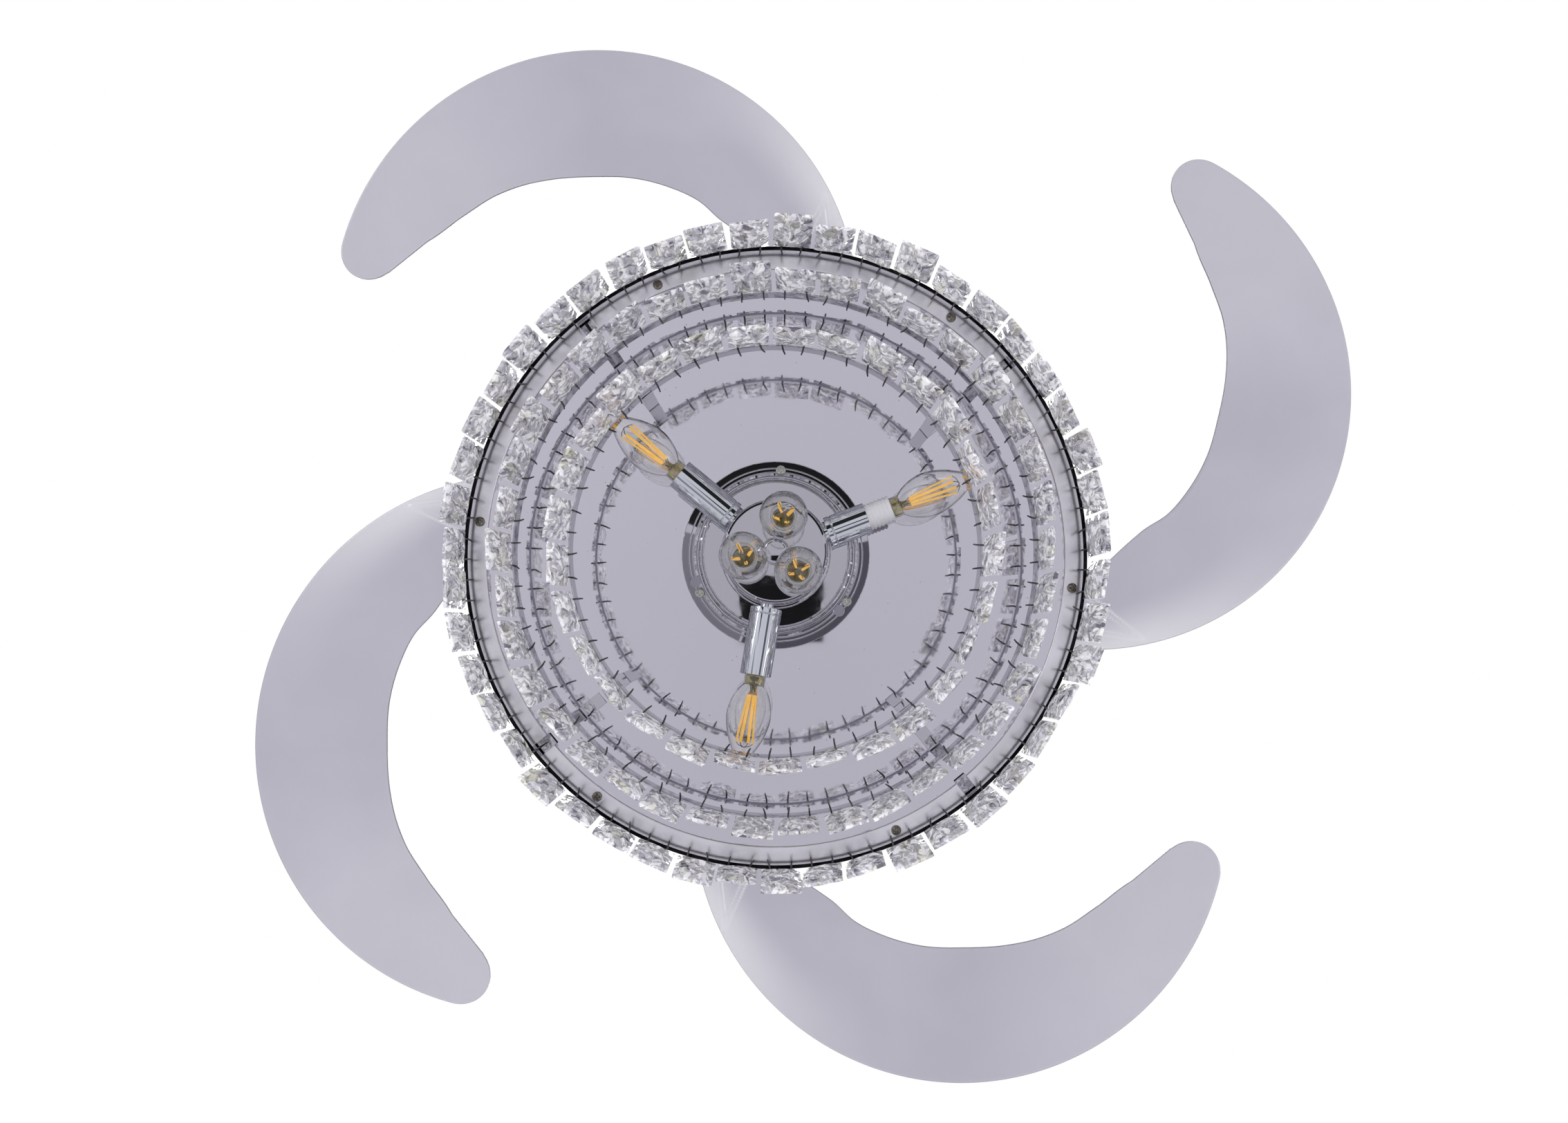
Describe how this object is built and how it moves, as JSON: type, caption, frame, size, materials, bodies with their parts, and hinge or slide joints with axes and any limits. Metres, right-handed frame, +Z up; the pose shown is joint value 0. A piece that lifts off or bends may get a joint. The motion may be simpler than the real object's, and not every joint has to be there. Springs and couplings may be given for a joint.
{
  "type": "ceiling fan",
  "caption": "Ceiling fan with clear folding crescent blades above a round mirror plate that carries tiers of hanging cut crystals and candle lamps, on a short downrod under a ceiling canopy.",
  "frame": {"origin": "centre of the bracket's upper face, on the ceiling and on the fan's axis", "axes": "+Z up along the fan's axis, +X to the right and +Y down as the picture shows it from below"},
  "size_m": [0.9231, 0.8694, 0.4008],
  "materials": {
    "polished_chrome": "mirror-bright plating",
    "mirror_steel": "mirror polished sheet",
    "clear_acrylic": "clear, faint lavender-grey tint",
    "cut_crystal": "clear, bevelled edges",
    "bulb_glass": "clear",
    "zinc_steel": "satin zinc plate",
    "spring_steel": "oiled wire",
    "motor_case": "satin casting",
    "wound_stator": "varnished laminations and windings",
    "white_plastic": "matte",
    "silver_paint": "smooth silver paint"
  },
  "bodies": {
    "fixed_frame": {"ceiling_bracket": "zinc_steel", "hanger_ball": "white_plastic", "downrod": "polished_chrome", "downrod_pin": "zinc_steel", "receiver_box": "white_plastic", "canopy": "polished_chrome", "canopy_screw_1": "polished_chrome", "canopy_screw_2": "polished_chrome", "motor_shaft": "zinc_steel", "coupling_cover": "polished_chrome", "stator": "wound_stator", "mirror_plate": "mirror_steel", "plate_nut": "zinc_steel", "outer_band": "polished_chrome", "middle_frame": "polished_chrome", "inner_frame": "polished_chrome", "crystals_outer": "cut_crystal", "crystals_middle": "cut_crystal", "crystals_inner": "cut_crystal", "plate_screw_1": "zinc_steel", "plate_screw_2": "zinc_steel", "plate_screw_3": "zinc_steel", "plate_screw_4": "zinc_steel", "plate_screw_5": "zinc_steel", "plate_screw_6": "zinc_steel", "pan_screw_1": "zinc_steel", "pan_screw_2": "zinc_steel", "pan_screw_3": "zinc_steel", "lamp_pan": "polished_chrome", "lamp_cup": "polished_chrome", "side_socket_1": "polished_chrome", "side_bulb_1": "bulb_glass", "side_socket_2": "polished_chrome", "side_bulb_2": "bulb_glass", "side_socket_3": "polished_chrome", "side_bulb_3": "bulb_glass", "down_socket_1": "polished_chrome", "down_bulb_1": "bulb_glass", "down_socket_2": "polished_chrome", "down_bulb_2": "bulb_glass", "down_socket_3": "polished_chrome", "down_bulb_3": "bulb_glass"},
    "rotor": {"rotor_top": "motor_case", "rotor_base": "motor_case", "upper_bearing": "zinc_steel", "lower_bearing": "zinc_steel", "blade_tray": "silver_paint", "blade_cover": "silver_paint", "blade_pivot_pin_1": "zinc_steel", "blade_spring_1": "spring_steel", "blade_pivot_pin_2": "zinc_steel", "blade_spring_2": "spring_steel", "blade_pivot_pin_3": "zinc_steel", "blade_spring_3": "spring_steel", "blade_pivot_pin_4": "zinc_steel", "blade_spring_4": "spring_steel"},
    "blade_1": {"blade_1": "clear_acrylic"},
    "blade_2": {"blade_2": "clear_acrylic"},
    "blade_3": {"blade_3": "clear_acrylic"},
    "blade_4": {"blade_4": "clear_acrylic"}
  },
  "joints": [
    {"name": "rotor_spin", "type": "hinge", "parent": "fixed_frame", "child": "rotor", "pos_m": [0, 0, -0.21], "axis": [0, 0, 1], "continuous": true},
    {"name": "blade_fold_1", "type": "hinge", "parent": "rotor", "child": "blade_1", "pos_m": [0.05138, -0.20156, -0.2265], "axis": [0, 0, -1], "range_deg": [-15, 78]},
    {"name": "blade_fold_2", "type": "hinge", "parent": "rotor", "child": "blade_2", "pos_m": [0.20156, 0.05138, -0.2265], "axis": [0, 0, -1], "range_deg": [0, 93]},
    {"name": "blade_fold_3", "type": "hinge", "parent": "rotor", "child": "blade_3", "pos_m": [-0.05138, 0.20156, -0.2265], "axis": [0, 0, -1], "range_deg": [-15, 78]},
    {"name": "blade_fold_4", "type": "hinge", "parent": "rotor", "child": "blade_4", "pos_m": [-0.20156, -0.05138, -0.2265], "axis": [0, 0, -1], "range_deg": [-15, 78]}
  ]
}
